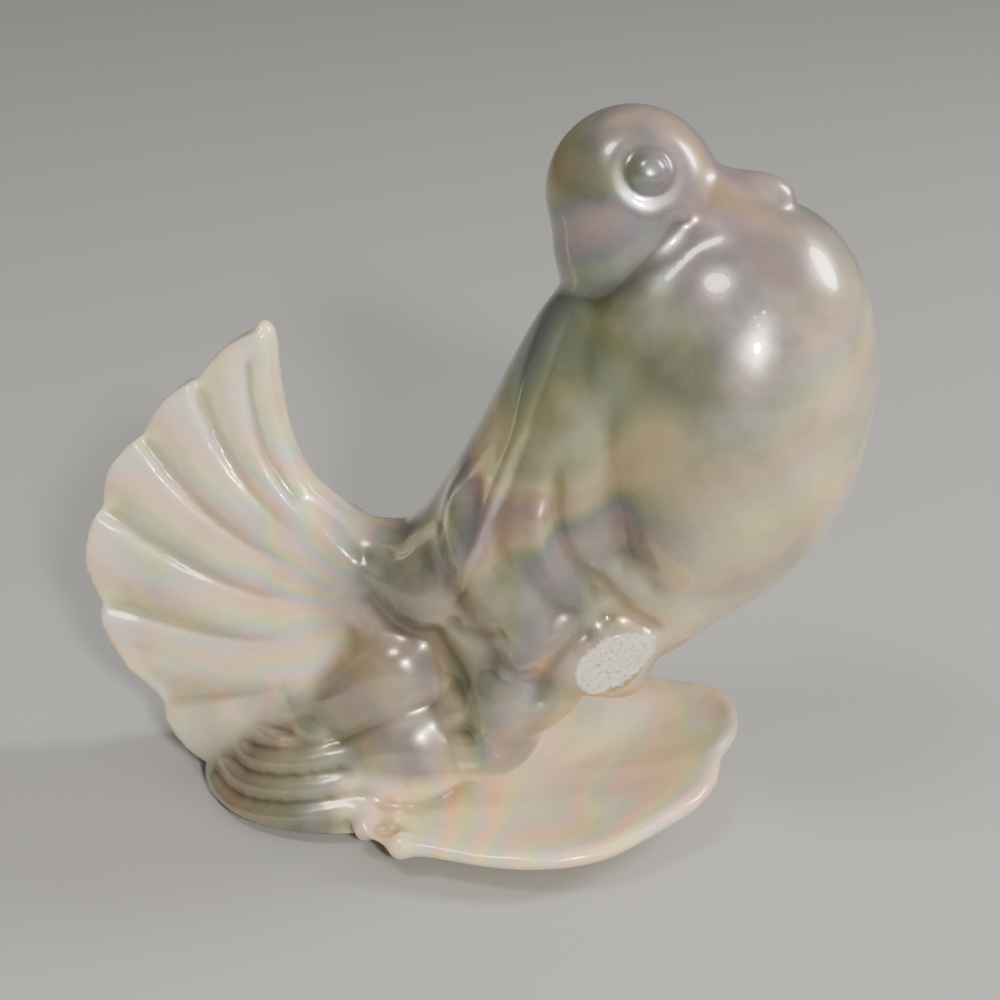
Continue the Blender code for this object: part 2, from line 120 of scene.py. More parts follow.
# Camera: turned to the right of square on, and looking down
CAMERA_TURN = math.radians(12.0)
CAMERA_RISE = math.radians(24.5)
CAMERA_AWAY = 0.385
CAMERA_AIM = (0.00801, 0.00195, 0.066)
LIGHT_AIM = (0, 0, 0.07)


def at(x, y, z):
    """A place given in shares of the figure's height."""
    return Vector((x, y, z)) * SHARE


def smoothstep(low, high, value):
    """Zero below low, one above high, with a soft start and end."""
    t = np.clip((value - low) / (high - low), 0.0, 1.0)
    return t * t * (3 - 2 * t)


def smooth_course(points, steps=12):
    """Points along the smooth curve that passes through the given ones."""
    given = [np.array(p, float) for p in points]
    ends = [2 * given[0] - given[1]] + given + [2 * given[-1] - given[-2]]
    course = []
    for a, b, c, d in zip(ends, ends[1:], ends[2:], ends[3:]):
        for step in range(steps):
            t = step / steps
            course.append(0.5 * (2 * b + (c - a) * t
                                 + (2 * a - 5 * b + 4 * c - d) * t * t
                                 + (3 * b - a - 3 * c + d) * t ** 3))
    course.append(given[-1])
    return np.array(course)


# The balls and cushions of clay that are laid together with the other forms
balls = []


def place_ball(ball, centre, radii, lean):
    """Stretch a round form and set it down; lean tips its top towards the breast, in degrees."""
    ball.data.transform(Matrix.Translation(at(*centre))
                        @ Matrix.Rotation(math.radians(lean), 4, "Y")
                        @ Matrix.Diagonal((*(r * SHARE for r in radii), 1.0)))
    balls.append(ball)


def add_ball(centre, radii, lean=0.0):
    """A stretched ball."""
    bpy.ops.object.select_all(action="DESELECT")
    bpy.ops.mesh.primitive_ico_sphere_add(subdivisions=5, radius=1.0)
    place_ball(bpy.context.object, centre, radii, lean)


def add_pair(centre, radii, lean=0.0):
    """The same stretched ball on the right and the left side."""
    x, y, z = centre
    for side in (-1, 1):
        add_ball((x, side * y, z), radii, lean)


def add_pad(centre, radii, lean=0.0):
    """A stretched ball with flatter sides and rounder corners, like a cushion."""
    bpy.ops.object.select_all(action="DESELECT")
    bpy.ops.mesh.primitive_ico_sphere_add(subdivisions=6, radius=1.0)
    pad = bpy.context.object
    for vert in pad.data.vertices:
        x, y, z = (abs(c) ** PAD_SQUARENESS for c in vert.co)
        vert.co = vert.co / (x + y + z) ** (1 / PAD_SQUARENESS)
    place_ball(pad, centre, radii, lean)


def close_rings(shape, rings):
    """Skin a run of rings of points, with a flat face at each end."""
    rows = [[shape.verts.new(p) for p in ring] for ring in rings]
    count = len(rows[0])
    for lower, upper in zip(rows, rows[1:]):
        for i in range(count):
            j = (i + 1) % count
            shape.faces.new((lower[i], lower[j], upper[j], upper[i]))
    shape.faces.new(list(reversed(rows[0])))
    shape.faces.new(rows[-1])


def add_loft(shape, stations, sides=64):
    """A body of oval rings along a course in the middle plane.

    Each station is x, z, half the depth in that plane, half the width.
    """
    course = smooth_course(stations)
    rings = []
    for i, (x, z, depth, width) in enumerate(course):
        ahead = course[min(i + 1, len(course) - 1)]
        behind = course[max(i - 1, 0)]
        run = Vector((ahead[0] - behind[0], 0, ahead[1] - behind[1])).normalized()
        across = Vector((run.z, 0, -run.x))
        ring = []
        for k in range(sides):
            a = 2 * math.pi * k / sides
            ring.append(at(x, width * math.sin(a), z) + across * (depth * math.cos(a) * SHARE))
        rings.append(ring)
    close_rings(shape, rings)


# Sections of the body: x, z, half the depth, half the width
BEAK = ((30, 126.4, 7.3, 8.6), (35, 126.7, 6.8, 7.6), (40, 127.0, 6.3, 6.4), (45, 127.4, 5.8, 5.2),
        (48.8, 127.6, 5.2, 4.2), (51.4, 127.2, 3.6, 3.0), (52.4, 126.8, 1.8, 1.6))
CROP = ((34.2, 45.6, 4, 5), (35.6, 49.5, 9.6, 10.6), (37.2, 54, 14.2, 15),
        (38.8, 61, 18.9, 20), (40.5, 70, 23.1, 24), (42, 80, 25.5, 26.8),
        (43, 90, 26.2, 27.5), (44.1, 100, 26.0, 26.6), (45.9, 109, 23.2, 23.6),
        (47.9, 117, 19.0, 18.6), (49.2, 122.6, 13.4, 12.6), (50.0, 126.8, 6.4, 6.2))
KEEL = ((12, 34, 9.0, 10), (24, 43, 11.8, 14), (35, 53.5, 12.6, 17), (46, 65.5, 12.4, 19),
        (52, 78, 11.0, 16))
BACK = ((28.2, 114, 13.8, 14.0), (25.6, 101, 17.8, 17.5), (20.6, 88, 19.4, 20.0),
        (15.2, 74, 20.4, 21.0), (9, 60, 21.6, 21.5), (2.5, 45, 25.0, 18.0),
        (-9, 33, 21.5, 15.5), (-20, 21, 16.0, 16.0))
TAIL_BAND = ((-45.6, 98.0, 0.8, 1.2), (-45.8, 96.6, 1.9, 2.4), (-45.7, 93, 2.3, 3.2),
             (-45.6, 86, 2.5, 3.4), (-43.8, 75, 2.4, 3.4), (-40.2, 65.6, 2.4, 3.8),
             (-34.0, 57.6, 2.8, 5.0), (-26, 52.8, 4.4, 8.0), (-16, 50, 8.0, 12.0))


def add_head_and_body(shape):
    """Head, beak, crop, back, rump, flanks and knees."""
    add_ball((23.8, 0, 128.0), (15.6, 14.8, 15.8))
    add_ball((26.2, 0, 119.0), (16.6, 15.2, 16.5))
    add_loft(shape, BEAK, sides=32)
    add_loft(shape, CROP)
    add_loft(shape, KEEL)
    add_loft(shape, BACK)
    add_ball((-10.0, 0, 48.0), (16.0, 17.0, 12.5), lean=-30)
    add_pair((6.5, 10.0, 52.0), (12.0, 13.5, 25.0), lean=-28)
    add_pair((17.5, 11.0, 43.0), (9.5, 10.5, 17.0), lean=-50)
    add_pair((4.0, 8.0, 27.8), (11.0, 13.5, 20.0), lean=57)
    add_pair((-1.0, 9.0, 17.0), (9.5, 11.0, 12.0), lean=60)
    add_pair((29.5, 9.0, 100.0), (12.5, 12.4, 21.0), lean=14)
    add_pair((39.0, 3.5, 122.5), (6.5, 8.0, 12.0), lean=84)
    add_pair((22.8, 12.2, 40.4), (8.0, 9.4, 12.5), lean=55)
    add_pad((-18.0, 0, 12.2), (12.5, 23.0, 17.0), lean=60)
    add_pad((-23.0, 0, 27.0), (9.5, 19.8, 19.0), lean=53)
    add_ball((-33.0, 0, 17.0), (12.0, 20.0, 11.0))
    add_pair((27.5, 9.0, 55.0), (9.0, 9.0, 11.0), lean=-35)
    add_ball((38.0, 0, 124.5), (9.0, 7.5, 5.5))


def feather_edge(index, nearness):
    """Angle of a feather's edge; nearness runs from 0 at the root to 1."""
    at_root = 141.0 + 14.2 * index
    at_margin = 115.0 + 18.4 * index
    return at_root + (at_margin - at_root) * nearness ** 1.3


# The fan's length from its first feather to its last, as shares of its reach
FAN_REACHES = smooth_course([(r,) for r in FEATHER_REACHES], steps=8)[:, 0]


def feather_reach(position):
    """Length of the fan at a place across it, with a lobe for each feather."""
    spot = position / FEATHER_COUNT * (len(FAN_REACHES) - 1)
    length = np.interp(spot, np.arange(len(FAN_REACHES)), FAN_REACHES)
    lobe = abs(math.sin(math.pi * position)) ** 0.55
    return TAIL_REACH * (length - 0.022 * (1 - lobe))


def soft(low, high, value):
    """The smoothstep of one plain number."""
    t = min(1.0, max(0.0, (value - low) / (high - low)))
    return t * t * (3 - 2 * t)


# Share of a feather's width over which its edge rises
FEATHER_RISE = 0.12


def feather_crown(position):
    """Height across one feather: a quick rise past its edge, then a slow fall."""
    part = position % 1.0
    return soft(0.0, FEATHER_RISE, part) * (1 - 0.95 * soft(0.45, 1.0, part))


def tail_half_thickness(position, nearness):
    """Half the fan's thickness: a plain rim, a thin margin and a thick foot."""
    low = position / FEATHER_COUNT
    foot = soft(0.35, 1.0, low)
    margin = TAIL_MARGIN_THICKNESS
    margin += (0.7 * TAIL_FOOT_THICKNESS - margin) * soft(0.72, 1.0, low)
    middle = 0.55 * TAIL_ROOT_THICKNESS
    middle += (TAIL_FOOT_THICKNESS - middle) * foot
    body = TAIL_ROOT_THICKNESS + (middle - TAIL_ROOT_THICKNESS) * soft(0.0, 0.5, nearness)
    body += (margin - body) * soft(0.25, 1.0, nearness)
    relief = FEATHER_RELIEF * soft(0.30, 0.80, nearness)
    lip = 0.35 * FEATHER_RELIEF * soft(0.86, 0.96, nearness)
    ribbed = body / 2 + relief * (feather_crown(position) - 1.0) + lip
    plain = TAIL_RIM_THICKNESS / 2
    return plain + (ribbed - plain) * soft(0.6, 2.2, position / TAIL_RIM_WIDTH)


def add_tail_fan(shape, across=300, along=110):
    """The fan: two ribbed faces, each the mirror of the other, with a plain rim."""
    root = at(*TAIL_ROOT)
    inner = 0.06 * TAIL_REACH
    near_rows = []
    far_rows = []
    for j in range(along + 1):
        out = j / along
        near_row = []
        far_row = []
        for i in range(across + 1):
            position = FEATHER_COUNT * i / across
            radius = inner + (feather_reach(position) - inner) * out
            nearness = max(0.0, (radius - 0.45 * TAIL_REACH) / (0.5 * TAIL_REACH))
            angle = math.radians(feather_edge(position, min(nearness, 1.0)))
            half = tail_half_thickness(position, radius / TAIL_REACH)
            x = root.x + radius * math.cos(angle)
            z = root.z + radius * math.sin(angle)
            near_row.append(shape.verts.new((x, -half, z)))
            far_row.append(shape.verts.new((x, half, z)))
        near_rows.append(near_row)
        far_rows.append(far_row)
    for rows, flip in ((near_rows, False), (far_rows, True)):
        for lower, upper in zip(rows, rows[1:]):
            for i in range(across):
                corners = [lower[i], upper[i], upper[i + 1], lower[i + 1]]
                shape.faces.new(corners if not flip else corners[::-1])
    border_near = (near_rows[0] + [row[-1] for row in near_rows[1:]]
                   + near_rows[-1][-2::-1] + [row[0] for row in near_rows[-2:0:-1]])
    border_far = (far_rows[0] + [row[-1] for row in far_rows[1:]]
                  + far_rows[-1][-2::-1] + [row[0] for row in far_rows[-2:0:-1]])
    count = len(border_near)
    for i in range(count):
        j = (i + 1) % count
        shape.faces.new((border_near[i], border_near[j], border_far[j], border_far[i]))


def add_stump(shape, sides=220, levels=120):
    """The round stump under the tail, in rolls that step in as they go up.

    The rolls climb towards the dish, and fade there into the plain thigh.
    """
    x0, y0 = (c * SHARE for c in STUMP_CENTRE)
    roll = STUMP_HEIGHT / (RUFFLE_COUNT + 0.4)
    rings = []
    for j in range(levels + 1):
        z = -SINK + (STUMP_HEIGHT + SINK) * j / levels
        ring = []
        for k in range(sides):
            a = 2 * math.pi * k / sides
            forward = math.cos(a)
            climb = 0.20 * STUMP_RADIUS * max(0.0, forward + 0.6)
            rows = max(0.0, (z - climb) / roll + 0.35)
            part = rows % 1.0
            step = math.floor(rows) + soft(0.62, 1.0, part)
            bulge = math.sin(math.pi * min(1.0, part / 0.9))
            radius = STUMP_RADIUS - RUFFLE_RELIEF * (step - 0.45 * bulge)
            ring.append(Vector((x0 + radius * forward, y0 + radius * math.sin(a), z)))
        rings.append(ring)
    close_rings(shape, rings)


# The shell's reach by direction seen from above, as shares of a plain oval
SHELL_REACHES = ((-5, 0.935), (3, 0.932), (9, 0.95), (18, 1.048), (28, 1.136), (36, 1.188),
                 (42, 1.18), (49, 1.10), (57, 1.025), (75, 0.99), (110, 1.01), (150, 1.0),
                 (195, 1.0), (214, 1.10), (227, 1.165), (237, 1.11), (246, 1.04), (260, 1.01),
                 (284, 1.0), (298, 0.985), (307, 0.96), (318, 0.918), (331, 0.908),
                 (341, 0.925), (355, 0.935), (363, 0.932))
SHELL_COURSE = smooth_course(SHELL_REACHES, steps=6)


def dish_outline(angle):
    """The shell's rim seen from above: an oval with a raised far lobe and soft waves."""
    oval = 1 / math.sqrt((math.cos(angle) / (DISH_LENGTH / 2)) ** 2
                         + (math.sin(angle) / (DISH_WIDTH / 2)) ** 2)
    turned = math.degrees(angle) % 360
    return oval * float(np.interp(turned, SHELL_COURSE[:, 0], SHELL_COURSE[:, 1]))


def dish_rim_height(angle):
    """The rim is low on the near side and rises to the far lobe."""
    rise = 0.5 + 0.5 * math.cos(angle - math.radians(62))
    return DISH_NEAR_RIM_HEIGHT + (DISH_FAR_RIM_HEIGHT - DISH_NEAR_RIM_HEIGHT) * rise


def add_dish(shape, sides=260):
    """The open shell: a flat foot, a flared wall, a round rim and a hollow bowl."""
    x0, y0 = (c * SHARE for c in DISH_CENTRE)
    half_rim = DISH_RIM_THICKNESS / 2
    foot = 0.62
    hollow = 1.9
    profile = [("foot", 0.35), ("foot", foot)]
    profile += [("outer", t / 8) for t in range(1, 9)]
    profile += [("rim", t / 8) for t in range(1, 8)]
    profile += [("inner", 1 - t / 14) for t in range(0, 14)]
    rings = []
    for kind, value in profile:
        ring = []
        for k in range(sides):
            angle = 2 * math.pi * k / sides
            reach = dish_outline(angle)
            crest = dish_rim_height(angle) - half_rim
            drop = dish_rim_height(angle) - DISH_FLOOR_THICKNESS
            slope = math.atan(hollow * drop / (reach - half_rim))
            start = -math.pi / 3
            end = math.pi / 2 + slope
            if kind == "foot":
                radius, z = value * reach, -SINK
            elif kind == "outer":
                outer = reach - half_rim * (1 - math.cos(start))
                radius = foot * reach + (outer - foot * reach) * value
                z = -SINK * (1 - min(1.0, 3 * value))
                z += (crest + half_rim * math.sin(start)) * value ** 1.35
            elif kind == "rim":
                turn = start + value * (end - start)
                radius = reach - half_rim + half_rim * math.cos(turn)
                z = crest + half_rim * math.sin(turn)
            else:
                radius = value * (reach - half_rim + half_rim * math.cos(end))
                edge = crest + half_rim * math.sin(end)
                z = DISH_FLOOR_THICKNESS + (edge - DISH_FLOOR_THICKNESS) * value ** hollow
            ring.append(Vector((x0 + radius * math.cos(angle), y0 + radius * math.sin(angle), z)))
        rings.append(ring)
    close_rings(shape, rings)


# The two knuckles of the shell's hinge: direction from the dish's centre, size, stretch
KNUCKLES = ((221.5, 1.0, (1.15, 0.95, 0.90)), (234.0, 0.92, (1.10, 0.92, 0.95)))


def knuckle_place(direction, size):
    """The middle of a knuckle: on the shell's rim, sunk into it by half its radius."""
    angle = math.radians(direction)
    reach = dish_outline(angle) - 0.85 * size * DISH_KNUCKLE_RADIUS
    x0, y0 = (c * SHARE for c in DISH_CENTRE)
    return Vector((x0 + reach * math.cos(angle), y0 + reach * math.sin(angle),
                   0.62 * DISH_NEAR_RIM_HEIGHT))


def add_knuckles(shape):
    """Two small knuckles of the shell's hinge, on the near side by the stump."""
    for direction, size, stretch in KNUCKLES:
        radii = [share * size * DISH_KNUCKLE_RADIUS for share in stretch]
        place = (Matrix.Translation(knuckle_place(direction, size))
                 @ Matrix.Rotation(math.radians(direction + 90), 4, "Z")
                 @ Matrix.Diagonal((*radii, 1.0)))
        bmesh.ops.create_icosphere(shape, subdivisions=4, radius=1.0, matrix=place)


def apply_all(figure):
    """Make all the modifiers of a mesh final."""
    bpy.context.view_layer.objects.active = figure
    for modifier in list(figure.modifiers):
        bpy.ops.object.modifier_apply(modifier=modifier.name)


def fuse(shape):
    """Join the forms and the balls, and draw one skin over them."""
    mesh = bpy.data.meshes.new("dove")
    shape.to_mesh(mesh)
    shape.free()
    figure = bpy.data.objects.new("dove", mesh)
    bpy.context.scene.collection.objects.link(figure)
    bpy.ops.object.select_all(action="DESELECT")
    for piece in balls + [figure]:
        piece.select_set(True)
    bpy.context.view_layer.objects.active = figure
    bpy.ops.object.join()
    skin = figure.modifiers.new("skin", "REMESH")
    skin.mode = "VOXEL"
    skin.voxel_size = CLAY_VOXEL
    apply_all(figure)
    return figure


def read_points(mesh):
    """The places and the outward directions of a mesh's points."""
    points = np.empty(len(mesh.vertices) * 3)
    mesh.vertices.foreach_get("co", points)
    normals = np.empty(len(mesh.vertices) * 3)
    mesh.vertices.foreach_get("normal", normals)
    return points.reshape(-1, 3), normals.reshape(-1, 3)


def write_points(mesh, points):
    mesh.vertices.foreach_set("co", points.ravel())
    mesh.update()


def blur_points(mesh, points, rounds, strength=0.5):
    """Draw each point towards its neighbours' middle, again and again."""
    ends = np.empty(len(mesh.edges) * 2, dtype=np.int64)
    mesh.edges.foreach_get("vertices", ends)
    a, b = ends.reshape(-1, 2).T
    count = len(points)
    degree = np.bincount(a, minlength=count) + np.bincount(b, minlength=count)
    points = points.copy()
    for step in range(rounds):
        mean = np.empty_like(points)
        for axis in range(3):
            mean[:, axis] = (np.bincount(a, points[b, axis], count)
                             + np.bincount(b, points[a, axis], count)) / degree
        points += (mean - points) * strength
    return points


def thin_out(figure):
    """Leave no more triangles than the seen model may have."""
    triangles = sum(len(p.vertices) - 2 for p in figure.data.polygons)
    thin = figure.modifiers.new("thin", "DECIMATE")
    thin.ratio = min(1.0, FINAL_FACES / triangles)
    apply_all(figure)


def smooth_clay(figure):
    """Even the surface out: little on the tail's feathers, and most on the body."""
    points = read_points(figure.data)[0]
    x, z = points[:, 0] / SHARE, points[:, 2] / SHARE
    on_fan = (1 - smoothstep(-32, -24, x)) * smoothstep(14, 20, z)
    on_body = smoothstep(-26, -18, x) * smoothstep(15, 22, z)
    strength = STUMP_AND_DISH_SMOOTHING - (STUMP_AND_DISH_SMOOTHING - FAN_SMOOTHING) * on_fan
    strength += (BODY_SMOOTHING - STUMP_AND_DISH_SMOOTHING) * on_body
    evened = blur_points(figure.data, points, SMOOTHING_ROUNDS, strength[:, None])
    write_points(figure.data, evened)


def distance_to_course(points, course):
    """Distance of each point from a curve drawn on the side view, and place along it."""
    flat = points[:, [0, 2]]
    nearest = np.full(len(flat), 1e9)
    along = np.zeros(len(flat))
    for i, (a, b) in enumerate(zip(course, course[1:])):
        run = b - a
        t = np.clip(((flat - a) @ run) / (run @ run), 0, 1)
        gap = np.linalg.norm(flat - (a + t[:, None] * run), axis=1)
        closer = gap < nearest
        nearest = np.where(closer, gap, nearest)
        along = np.where(closer, (i + t) / (len(course) - 1), along)
    return nearest, along


# Strokes drawn on both flanks: depth below the surface, width, then x, z places
FLANK_STROKES = (
    (1.5, 2.6, ((15.5, 86), (14.8, 73), (17.6, 64), (22.4, 57), (29.5, 50), (35.5, 45.5))),
    (-0.9, 2.6, ((11.0, 76), (11.6, 67), (14.5, 59), (19.5, 53), (25, 50))),
    (0.7, 2.6, ((35.5, 128), (33, 124), (28, 119), (22, 113.5), (15.5, 108.5))),
    (-0.9, 2.4, ((14.5, 110), (8.6, 97), (6.8, 86), (3, 74), (1.3, 64.5), (-5.0, 47))),
    (0.9, 2.2, ((-6.4, 47.5), (-5.0, 43.8), (-1.5, 43.4), (3.0, 45.5), (6.5, 47.5))),
    (1.0, 2.8, ((-26, 57), (-25.5, 50), (-23, 45.5), (-17.5, 42), (-11, 40))),
    (2.2, 3.6, ((-12.5, 44), (-9.4, 39.0), (-6.0, 33.0), (-4.0, 28.5), (-3.2, 24), (-3.0, 19))),
    (1.0, 2.5, ((12.0, 29), (12.4, 34), (14.2, 40), (18.6, 45.6), (23, 48.5))),
    (-0.7, 2.0, ((2.3, 35.5), (7, 38.5), (12, 43), (15.8, 48), (18, 52))),
    (0.8, 3.0, ((-42, 22.0), (-36, 27), (-30, 34), (-25, 42))),
)


def carve_flanks(points, normals):
    """Creases and ridges that show on both flanks."""
    side = smoothstep(0.12, 0.45, np.abs(normals[:, 1]))
    for depth, width, places in FLANK_STROKES:
        course = smooth_course([(x * SHARE, z * SHARE) for x, z in places])
        gap, along = distance_to_course(points, course)
        fade = smoothstep(0.0, 0.15, along) * (1 - smoothstep(0.85, 1.0, along))
        cut = depth * SHARE * np.exp(-(gap / (width * SHARE)) ** 2) * side * fade
        points -= normals * cut[:, None]


def carve_eyes(points, normals):
    """A raised round eye in a ring crease on each side of the head."""
    x, y, z = EYE_PLACE
    for side in (-1, 1):
        gap = np.linalg.norm(points - np.array(at(x, side * y, z)), axis=1) / SHARE
        socket = 0.75 * np.exp(-((gap - EYE_RING_RADIUS) / (EYE_RING_RADIUS / 2)) ** 2)
        boss = 1.1 * (1 - smoothstep(1.5, EYE_RING_RADIUS, gap))
        points += normals * ((boss - socket) * SHARE)[:, None]


def place_on_chip(points):
    """Height above the chip's plane, and the distance from its middle as a share of its size."""
    from_chip = points - np.array(at(*CHIP_CENTRE))
    facing = Vector(CHIP_FACING).normalized()
    across = facing.cross(Vector(CHIP_RUN)).normalized()
    along = from_chip @ np.array(across.cross(facing)) / CHIP_LENGTH
    aside = from_chip @ np.array(across) / CHIP_WIDTH
    return from_chip @ np.array(facing), np.hypot(along, aside)


def carve_chip(points):
    """The glaze and some clay are broken off the near knee, which leaves a flat oval scar."""
    height, spread = place_on_chip(points)
    near = 1 - smoothstep(0.55, 0.72, spread)
    facing = np.array(Vector(CHIP_FACING).normalized())
    points -= facing * (np.maximum(height, 0) * near)[:, None]


def carve_shell_pit(points, normals):
    """The small dark pit between the hinge's knuckles."""
    first, second = (knuckle_place(direction, size) for direction, size, _ in KNUCKLES)
    pit = np.array((first + second) / 2)
    gap = np.linalg.norm(points - pit, axis=1) / SHARE
    points -= normals * (1.8 * np.exp(-(gap / 4.2) ** 4) * SHARE)[:, None]


def cut_flat(figure):
    """Cut the foot flat and sink the blind pour hole into it, with one cutter."""
    bpy.ops.object.select_all(action="DESELECT")
    bpy.ops.mesh.primitive_cube_add(size=0.5, location=(0, 0, -0.25))
    slab = bpy.context.object
    bpy.ops.mesh.primitive_cylinder_add(vertices=48, radius=POUR_HOLE_DIAMETER / 2,
                                        depth=2 * POUR_HOLE_DEPTH,
                                        location=at(STUMP_CENTRE[0], 0, 0))
    slab.select_set(True)
    bpy.context.view_layer.objects.active = slab
    bpy.ops.object.join()
    bpy.ops.object.transform_apply(location=True, rotation=True, scale=True)
    cut = figure.modifiers.new("cut", "BOOLEAN")
    cut.operation = "DIFFERENCE"
    cut.solver = "MANIFOLD"
    cut.object = slab
    apply_all(figure)
    bpy.data.objects.remove(slab)


def carve_wing_edge(points, normals):
    """The wing's front edge stands a little proud of the flank, from the shoulder down."""
    x, z = points[:, 0] / SHARE, points[:, 2] / SHARE
    edge = -27.7 + 0.5034 * z - 0.00104 * z ** 2 + 0.12 * np.sin(0.6 * z)
    past = 0.88 * (x - edge)
    ends = smoothstep(46, 55, z) * (1 - smoothstep(102, 113, z))
    ends *= 1 - 0.7 * smoothstep(80, 92, z)
    side = smoothstep(0.12, 0.45, np.abs(normals[:, 1]))
    drop = smoothstep(-0.4, 0.5, past) * np.exp(-(np.maximum(past, 0) / 6.5) ** 2)
    lip = np.exp(-((past + 1.1) / 1.0) ** 2)
    points += normals * ((0.30 * lip - 0.70 * drop) * side * ends * SHARE)[:, None]


def carve_tail_band(points, normals):
    """A fine groove where the tail's plain band meets the first feather."""
    places = ((-48.3, 93), (-48.4, 84), (-46.2, 73), (-41.6, 65), (-36.5, 59.5), (-29, 55))
    course = smooth_course([(x * SHARE, z * SHARE) for x, z in places])
    gap, along = distance_to_course(points, course)
    side = smoothstep(0.3, 0.7, np.abs(normals[:, 1]))
    fade = smoothstep(0.0, 0.1, along) * (1 - smoothstep(0.8, 1.0, along))
    cut = 0.55 * SHARE * np.exp(-(gap / (0.9 * SHARE)) ** 2) * side * fade
    points -= normals * cut[:, None]


def note_glaze_places(figure):
    """Store what the glaze needs to know of each place on the skin.

    hollow: how deep it lies below its surroundings, which sets the painted shade of creases. bare:
    the glaze is broken off.
    pale: cream instead of grey on the tail and the dish, and lighter on the breast's front and
    right as painted reflected light. warm: tinted peach on the tail and the dish, and painted peach
    light on the breast. feather: counts across the tail's feathers.
    """
    mesh = figure.data
    points, normals = read_points(mesh)
    inward = np.einsum("ij,ij->i", blur_points(mesh, points, 30) - points, normals)
    # hollow is painted shade: the deeper a place lies below its smoothed surroundings, the darker
    # it is coloured
    hollow = np.clip(inward / FULL_SHADE_DEPTH, 0, 1)
    height, spread = place_on_chip(points)
    bare = (np.abs(height) < 0.15 * MM) & (spread < 0.56)
    x, z = points[:, 0] / SHARE, points[:, 2] / SHARE
    out, up = x - TAIL_ROOT[0], z - TAIL_ROOT[2]
    turn = np.degrees(np.arctan2(up, out)) % 360
    on_fan = smoothstep(12, 32, np.hypot(out, up))
    on_fan *= smoothstep(88, 104, turn) * (1 - smoothstep(208, 226, turn))
    on_dish = smoothstep(-30, -22, x) * (1 - smoothstep(9, 15, z))
    # Painted reflected light: the breast's front and right are made lighter and peach, as if lit by
    # the bright room on the right
    lit_breast = smoothstep(18, 52, x - 0.55 * z + 36)
    low = 0.08 * (1 - smoothstep(42, 66, z))
    pale_glaze_and_light = np.maximum(np.maximum(on_fan, on_dish), low + (0.52 - low) * lit_breast)
    peach_glaze_and_light = np.maximum(np.maximum(0.35 * on_fan, 0.80 * on_dish), lit_breast)
    for name, values in (("hollow", hollow), ("bare", bare), ("pale_glaze_and_light", pale_glaze_and_light), ("peach_glaze_and_light", peach_glaze_and_light),
                         ("feather", turn / 16)):
        layer = mesh.attributes.new(name, "FLOAT", "POINT")
        layer.data.foreach_set("value", values.astype(np.float32))


def fit_to_solid(figure):
    """Centre the dove, and keep it exactly within the solid's own box."""
    points = read_points(figure.data)[0]
    low, high = (np.array(corner) for corner in solid_box)
    lowest, highest = points.min(axis=0), points.max(axis=0)
    write_points(figure.data, low + (points - lowest) * (high - low) / (highest - lowest))


def build_dove():
    """Lay the forms together, draw the skin, carve it and cut it flat."""
    shape = bmesh.new()
    add_head_and_body(shape)
    add_tail_fan(shape)
    add_loft(shape, TAIL_BAND, sides=48)
    add_stump(shape)
    add_dish(shape)
    add_knuckles(shape)
    bmesh.ops.recalc_face_normals(shape, faces=shape.faces)
    figure = fuse(shape)
    smooth_clay(figure)
    points, normals = read_points(figure.data)
    carve_flanks(points, normals)
    carve_eyes(points, normals)
    carve_chip(points)
    carve_shell_pit(points, normals)
    carve_wing_edge(points, normals)
    carve_tail_band(points, normals)
    write_points(figure.data, points)
    thin_out(figure)
    cut_flat(figure)
    note_glaze_places(figure)
    fit_to_solid(figure)
    bpy.ops.object.select_all(action="DESELECT")
    figure.select_set(True)
    bpy.context.view_layer.objects.active = figure
    bpy.ops.object.shade_smooth()
    return figure


class Nodes:
    """A short hand for wiring one material."""

    def __init__(self, name):
        self.material = bpy.data.materials.new(name)
        self.material.use_nodes = True
        self.tree = self.material.node_tree
        self.shader = self.tree.nodes["Principled BSDF"]

    def add(self, kind, **settings):
        node = self.tree.nodes.new(kind)
        for key, value in settings.items():
            setattr(node, key, value)
        return node

    def link(self, source, target):
        self.tree.links.new(source, target)

    def math(self, operation, a, b=0.5, clamp=False):
        """Reckon with two values, each a number or an output."""
        node = self.add("ShaderNodeMath", operation=operation, use_clamp=clamp)
        for socket, value in zip(node.inputs, (a, b)):
            if isinstance(value, (int, float)):
                socket.default_value = value
            else:
                self.link(value, socket)
        return node.outputs[0]

    def noise(self, vector, scale, detail=3.0, roughness=0.5, distortion=0.0):
        node = self.add("ShaderNodeTexNoise")
        node.inputs["Scale"].default_value = scale
        node.inputs["Detail"].default_value = detail
        node.inputs["Roughness"].default_value = roughness
        node.inputs["Distortion"].default_value = distortion
        self.link(vector, node.inputs["Vector"])
        return node.outputs["Fac"]

    def ramp(self, factor, stops):
        """Colours that blend from stop to stop; each stop is a place and a colour."""
        node = self.add("ShaderNodeValToRGB")
        elements = node.color_ramp.elements
        while len(elements) < len(stops):
            elements.new(0.5)
        for element, (place, colour) in zip(elements, stops):
            element.position = place
            element.color = (*colour, 1)
        self.link(factor, node.inputs["Fac"])
        return node.outputs["Color"]

    def mix(self, blend, factor, a, b):
        """Blend colour b over colour a, each a colour or an output."""
        node = self.add("ShaderNodeMix", data_type="RGBA", blend_type=blend)
        sockets = (node.inputs["Factor"], node.inputs[6], node.inputs[7])
        for socket, value in zip(sockets, (factor, a, b)):
            if isinstance(value, (int, float)):
                socket.default_value = value
            elif isinstance(value, tuple):
                socket.default_value = (*value, 1)
            else:
                self.link(value, socket)
        return node.outputs[2]

    def stored(self, name):
        """A value that was stored with the mesh's points."""
        return self.add("ShaderNodeAttribute", attribute_name=name).outputs["Fac"]


def grey(value):
    """A plain grey, or one number for a ramp."""
    return (value, value, value)


